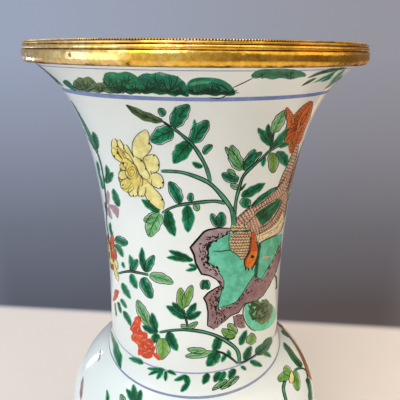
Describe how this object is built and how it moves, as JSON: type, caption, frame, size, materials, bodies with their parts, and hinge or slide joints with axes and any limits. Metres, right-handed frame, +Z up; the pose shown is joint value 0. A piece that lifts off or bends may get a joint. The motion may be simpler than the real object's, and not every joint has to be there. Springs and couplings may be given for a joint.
{
  "type": "yen yen vase",
  "caption": "Tall porcelain baluster vase with a long trumpet neck, a spreading foot and a reeded gilt metal mount around its lip, for holding flowers or for display.",
  "frame": {"origin": "centre of the foot ring, on the plane that it stands on", "axes": "+Z up along the axis of the vase, -Y towards the side that the picture shows"},
  "size_m": [0.2159, 0.216, 0.455],
  "materials": {
    "porcelain": "opaque white porcelain with a clear glossy glaze and overglaze enamel painting",
    "luting_slip": "opaque fired porcelain slip",
    "gilt_metal": "worn fire gilding, burnished",
    "bedding_compound": "matt plaster"
  },
  "bodies": {
    "root": {"neck_section": "porcelain", "upper_body_section": "porcelain", "lower_body_section": "porcelain", "neck_luting_ring": "luting_slip", "belly_luting_ring": "luting_slip", "rim_band": "gilt_metal", "reeded_ring": "gilt_metal", "milled_edge": "gilt_metal", "inner_collar": "gilt_metal", "rim_bedding": "bedding_compound"}
  },
  "joints": []
}
